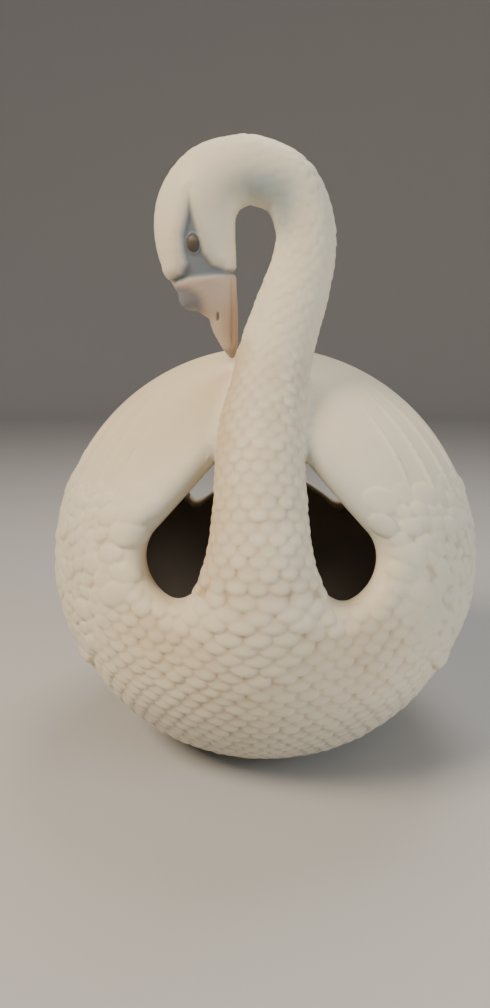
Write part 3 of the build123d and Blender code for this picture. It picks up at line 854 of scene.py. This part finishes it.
# ---------------------------------------------------------------------------------------------
# The castings. Foot with its floor, bowl of the body, two wings, and neck with head are luted
# together with slip before firing, and the joints are sponged away.
# ---------------------------------------------------------------------------------------------
whole = bpy.data.meshes.new("swan_whole")
whole.from_pydata(points * MM, [], everything)
whole.shade_smooth()
whole_normals = np.empty(len(points) * 3, np.float32)
whole.vertex_normals.foreach_get("vector", whole_normals)
whole_normals = whole_normals.reshape(-1, 3)
face_middle = np.array([plain[f].mean(axis=0) for f in everything])
on_neck = (neck(face_middle) < 0.9) & (face_middle[:, 2] > 106)
on_wing = ~on_neck & (hem(face_middle) > 0) & (face_middle[:, 2] > HEM_LOW[1] - 3)
on_foot = ~on_neck & ~on_wing & (face_middle[:, 2] < FLOOR_TOP + 1)
castings = {
    "neck_and_head": on_neck,
    "left_wing": on_wing & (face_middle[:, 0] < 0),
    "right_wing": on_wing & (face_middle[:, 0] >= 0),
    "swan_foot": on_foot,
    "swan_body": ~on_neck & ~on_wing & ~on_foot,
}

bisque = bpy.data.materials.new("bisque")
bisque.use_nodes = True
tree = bisque.node_tree
bisque_shader = tree.nodes["Principled BSDF"]
painted = tree.nodes.new("ShaderNodeVertexColor")
painted.layer_name = "paint"
clouds = tree.nodes.new("ShaderNodeTexNoise")
clouds.inputs["Scale"].default_value = 38.0
clouds.inputs["Detail"].default_value = 5.0
cloud_tone = tree.nodes.new("ShaderNodeMapRange")
cloud_tone.inputs["To Min"].default_value = 0.90
cloud_tone.inputs["To Max"].default_value = 1.04
shade = tree.nodes.new("ShaderNodeMix")
shade.data_type = "RGBA"
shade.blend_type = "MULTIPLY"
shade.inputs["Factor"].default_value = 1.0
grain = tree.nodes.new("ShaderNodeTexNoise")
grain.inputs["Scale"].default_value = 1400.0
grain.inputs["Detail"].default_value = 3.0
grain_bump = tree.nodes.new("ShaderNodeBump")
grain_bump.inputs["Strength"].default_value = 0.10
grain_bump.inputs["Distance"].default_value = 0.0002
on_object = tree.nodes.new("ShaderNodeTexCoord")
tree.links.new(on_object.outputs["Object"], clouds.inputs["Vector"])
tree.links.new(on_object.outputs["Object"], grain.inputs["Vector"])
tree.links.new(clouds.outputs["Fac"], cloud_tone.inputs["Value"])
tree.links.new(painted.outputs["Color"], shade.inputs["A"])
tree.links.new(cloud_tone.outputs["Result"], shade.inputs["B"])
tree.links.new(shade.outputs["Result"], bisque_shader.inputs["Base Color"])
tree.links.new(grain.outputs["Fac"], grain_bump.inputs["Height"])
tree.links.new(grain_bump.outputs["Normal"], bisque_shader.inputs["Normal"])
bisque_shader.inputs["Roughness"].default_value = 0.58
bisque_shader.inputs["IOR"].default_value = 1.45
bisque_shader.inputs["Subsurface Weight"].default_value = 0.08
bisque_shader.inputs["Subsurface Scale"].default_value = 0.0015
bisque_shader.inputs["Sheen Weight"].default_value = 0.08

for node, belongs in castings.items():
    faces = [everything[i] for i in np.flatnonzero(belongs)]
    used = np.unique(np.concatenate([np.array(f) for f in faces]))
    renumber = np.full(len(points), -1)
    renumber[used] = np.arange(len(used))
    mesh = bpy.data.meshes.new(node + "_casting")
    mesh.from_pydata(points[used] * MM, [], [renumber[f].tolist() for f in faces])
    mesh.shade_smooth()
    mesh.normals_split_custom_set_from_vertices(whole_normals[used].tolist())
    layer = mesh.color_attributes.new("paint", "FLOAT_COLOR", "POINT")
    layer.data.foreach_set("color", np.column_stack([paint[used], np.ones(len(used))]).ravel())
    mesh.materials.append(bisque)
    casting = bpy.data.objects.new(node + "_casting", mesh)
    bpy.context.collection.objects.link(casting)
    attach(casting, "lamp")
    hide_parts(node)
bpy.data.meshes.remove(whole)

# ---------------------------------------------------------------------------------------------
# Felt pad and base card. A disc of dark brown wool felt is glued to a disc of grey pressed card,
# and that to the foot; together they hide the nut and keep the porcelain off the furniture.
# ---------------------------------------------------------------------------------------------
finishes = {}


def surface(slot, colour, rough, metal=0.0, grain=900.0, depth=0.0, mottle=0.0, stretch=(1, 1, 1)):
    """A procedural finish: colour and roughness wander with one noise, and a finer one raises a grain."""
    finish = bpy.data.materials.new(slot)
    finish.use_nodes = True
    nodes, links = finish.node_tree.nodes, finish.node_tree.links
    shader = nodes["Principled BSDF"]
    shader.inputs["Metallic"].default_value = metal
    where = nodes.new("ShaderNodeTexCoord")
    scaled_by = nodes.new("ShaderNodeMapping")
    scaled_by.inputs["Scale"].default_value = stretch
    links.new(where.outputs["Object"], scaled_by.inputs["Vector"])
    patches = nodes.new("ShaderNodeTexNoise")
    patches.inputs["Scale"].default_value = grain / 8
    patches.inputs["Detail"].default_value = 6.0
    links.new(scaled_by.outputs["Vector"], patches.inputs["Vector"])
    tint = nodes.new("ShaderNodeMix")
    tint.data_type = "RGBA"
    tint.inputs["A"].default_value = (*(c * (1 - mottle) for c in colour), 1)
    tint.inputs["B"].default_value = (*(min(c * (1 + mottle), 1) for c in colour), 1)
    links.new(patches.outputs["Fac"], tint.inputs["Factor"])
    links.new(tint.outputs["Result"], shader.inputs["Base Color"])
    wear = nodes.new("ShaderNodeMapRange")
    wear.inputs["To Min"].default_value = rough * (1 - mottle)
    wear.inputs["To Max"].default_value = min(rough * (1 + mottle), 1)
    links.new(patches.outputs["Fac"], wear.inputs["Value"])
    links.new(wear.outputs["Result"], shader.inputs["Roughness"])
    if depth:
        fine_grain = nodes.new("ShaderNodeTexNoise")
        fine_grain.inputs["Scale"].default_value = grain
        fine_grain.inputs["Detail"].default_value = 3.0
        raised = nodes.new("ShaderNodeBump")
        raised.inputs["Strength"].default_value = 0.6
        raised.inputs["Distance"].default_value = depth * MM
        links.new(scaled_by.outputs["Vector"], fine_grain.inputs["Vector"])
        links.new(fine_grain.outputs["Fac"], raised.inputs["Height"])
        links.new(raised.outputs["Normal"], shader.inputs["Normal"])
    finishes[slot] = finish
    return shader


def dress(node, slot):
    """Gives one piece its finish."""
    for material_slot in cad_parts[node].material_slots:
        material_slot.link = "OBJECT"
        material_slot.material = finishes[slot]


surface("felt", linear(62, 50, 40), 0.95, grain=1600, depth=0.5, mottle=0.25)
finishes["felt"].node_tree.nodes["Principled BSDF"].inputs["Sheen Weight"].default_value = 0.4
dress("felt_pad", "felt")
surface("card", linear(140, 120, 96), 0.9, grain=700, depth=0.15, mottle=0.12)
dress("base_card", "card")

# ---------------------------------------------------------------------------------------------
# Cord grommet. Moulded black rubber, pushed into the hole through the back of the foot from
# outside, so that its flange sits in the pocket and the porcelain never chafes the cord.
# ---------------------------------------------------------------------------------------------
surface("rubber", linear(36, 34, 33), 0.72, grain=2200, depth=0.03, mottle=0.1)
dress("cord_grommet", "rubber")

# ---------------------------------------------------------------------------------------------
# Lamp pipe, washers and nuts. Zinc-plated steel; the pipe is threaded from end to end and clamps
# the porcelain floor between two washers, with a nut below and a nut above.
# ---------------------------------------------------------------------------------------------
surface("zinc_steel", linear(176, 174, 168), 0.34, metal=1.0, grain=1200, depth=0.02, mottle=0.18)
for node in ("lamp_pipe", "lower_washer", "lower_nut", "upper_washer", "upper_nut", "cap_set_screw"):
    dress(node, "zinc_steel")

# ---------------------------------------------------------------------------------------------
# Socket. Spun brass cap on a brass bushing that screws on to the pipe, and a drawn brass shell
# that snaps into the cap; a sleeve of fibre paper keeps the shell from the live parts.
# ---------------------------------------------------------------------------------------------
surface("brass", linear(186, 148, 84), 0.30, metal=1.0, grain=900, depth=0.015, mottle=0.22)
for node in ("socket_cap", "cap_bushing", "socket_shell"):
    dress(node, "brass")
for node in ("centre_contact", "terminal_screw_a", "terminal_screw_b"):
    dress(node, "brass")
surface("fibre", linear(150, 126, 92), 0.85, grain=500, depth=0.05, mottle=0.15)
dress("shell_liner", "fibre")

# ---------------------------------------------------------------------------------------------
# Socket core and switch. The core, the switch's knob and its stem's bush are moulded brown
# phenolic; turning the knob at the back makes and breaks the circuit.
# ---------------------------------------------------------------------------------------------
surface("phenolic", linear(58, 36, 26), 0.32, grain=400, mottle=0.12)
for node in ("socket_core", "switch_knob"):
    dress(node, "phenolic")
dress("switch_stem", "brass")

# ---------------------------------------------------------------------------------------------
# Screw shell. Thin brass rolled with the medium screw thread, 3.63 mm to a turn, riveted to the
# core; its floor is open in the middle round the centre contact.
# ---------------------------------------------------------------------------------------------
PITCH = 3.63
THREAD_DEPTH = 0.33
THREAD_STEP = 0.3
SCREW_LOW = 54.6
SCREW_HIGH = 77.1
SCREW_OUTER_R = 13.45
SCREW_INNER_R = 13.0
SCREW_FLOOR = 0.5
SCREW_FLOOR_HOLE_R = 6.0


def lathe(name, sections, around=96):
    """A closed skin turned round +Z; each section is a height and a function of the angle that gives a
    radius, or a plain radius."""
    angles = np.linspace(0, math.tau, around, endpoint=False)
    rows = []
    for height, radius in sections:
        reach_here = radius(angles) if callable(radius) else np.full(around, float(radius))
        level = np.full(around, height)
        rows.append(np.column_stack([reach_here * np.cos(angles), reach_here * np.sin(angles), level]))
    count = len(rows)
    corners = np.vstack(rows) * MM
    quads_here = [
        (i * around + j, i * around + (j + 1) % around, k * around + (j + 1) % around, k * around + j)
        for i, k in zip(range(count), [*range(1, count), 0])
        for j in range(around)
    ]
    mesh_here = bpy.data.meshes.new(name)
    mesh_here.from_pydata(corners, [], quads_here)
    mesh_here.shade_smooth()
    made = bpy.data.objects.new(name, mesh_here)
    bpy.context.collection.objects.link(made)
    return made


def thread(height, mean, low, high):
    """The radius round a screw thread at one height, fading out at both ends."""
    fade = float(ramp(low, low + PITCH * 0.6, height) * ramp(high, high - PITCH * 0.6, height))
    return lambda angle: mean + THREAD_DEPTH * fade * np.cos(math.tau * height / PITCH - angle)


heights = np.arange(SCREW_LOW + 0.6, SCREW_HIGH - 0.2, THREAD_STEP)
sections = [(SCREW_LOW, SCREW_FLOOR_HOLE_R), (SCREW_LOW, SCREW_OUTER_R - 0.25)]
sections += [(h, thread(h, SCREW_OUTER_R, SCREW_LOW, SCREW_HIGH)) for h in heights]
sections += [(SCREW_HIGH, SCREW_OUTER_R + 0.3), (SCREW_HIGH, SCREW_INNER_R + 0.32)]
sections += [(h, thread(h, SCREW_INNER_R, SCREW_LOW, SCREW_HIGH)) for h in heights[::-1]]
sections += [(SCREW_LOW + SCREW_FLOOR, SCREW_INNER_R - 0.3), (SCREW_LOW + SCREW_FLOOR, SCREW_FLOOR_HOLE_R)]
screw = lathe("screw_shell_thread", sections)
screw.data.materials.append(finishes["brass"])
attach(screw, "lamp")
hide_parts("screw_shell")

# ---------------------------------------------------------------------------------------------
# Bulb. A frosted globe of soft glass on a rolled aluminium screw base, with a ring of black glass
# and a tinned button at the tip. Inside, a clear stem carries two leads and the coiled filament.
# ---------------------------------------------------------------------------------------------
surface("solder", linear(170, 170, 168), 0.38, metal=1.0, grain=700, depth=0.05, mottle=0.12)
dress("bulb_contact", "solder")
surface("black_glass", linear(22, 22, 26), 0.12, grain=300, mottle=0.05)
dress("bulb_insulator", "black_glass")
surface("aluminium", linear(198, 198, 200), 0.30, metal=1.0, grain=1500, depth=0.01, mottle=0.12)
BASE_THREAD_LOW = 61.6
BASE_THREAD_HIGH = 77.0
BASE_LOW = 60.75
BASE_HIGH = 81.75
BASE_OUTER_R = 12.67
BASE_INNER_R = 12.27
heights = np.arange(BASE_LOW + 0.6, BASE_HIGH - 0.5, THREAD_STEP)
sections = [(BASE_LOW, 10.9), (BASE_LOW + 0.2, 11.9)]
sections += [(h, thread(h, BASE_OUTER_R, BASE_THREAD_LOW, BASE_THREAD_HIGH)) for h in heights]
sections += [(BASE_HIGH - 0.2, 12.95), (BASE_HIGH, 12.8), (BASE_HIGH, 12.62)]
sections += [(h, thread(h, BASE_INNER_R, BASE_THREAD_LOW, BASE_THREAD_HIGH)) for h in heights[::-1]]
sections += [(BASE_LOW + 0.35, 11.5)]
base = lathe("bulb_base_thread", sections)
base.data.materials.append(finishes["aluminium"])
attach(base, "bulb")
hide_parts("bulb_base")

frosted = surface("bulb_glass", linear(238, 238, 232), 0.42, grain=2600, depth=0.01, mottle=0.03)
frosted.inputs["Transmission Weight"].default_value = 0.55
frosted.inputs["IOR"].default_value = 1.45
dress("bulb_glass", "bulb_glass")
clear = surface("clear_glass", linear(236, 240, 240), 0.05, grain=300, mottle=0.02)
clear.inputs["Transmission Weight"].default_value = 0.95
clear.inputs["IOR"].default_value = 1.5
dress("bulb_stem", "clear_glass")
surface("tungsten", linear(92, 90, 88), 0.4, metal=1.0, grain=2000, mottle=0.1)
dress("bulb_filament", "tungsten")
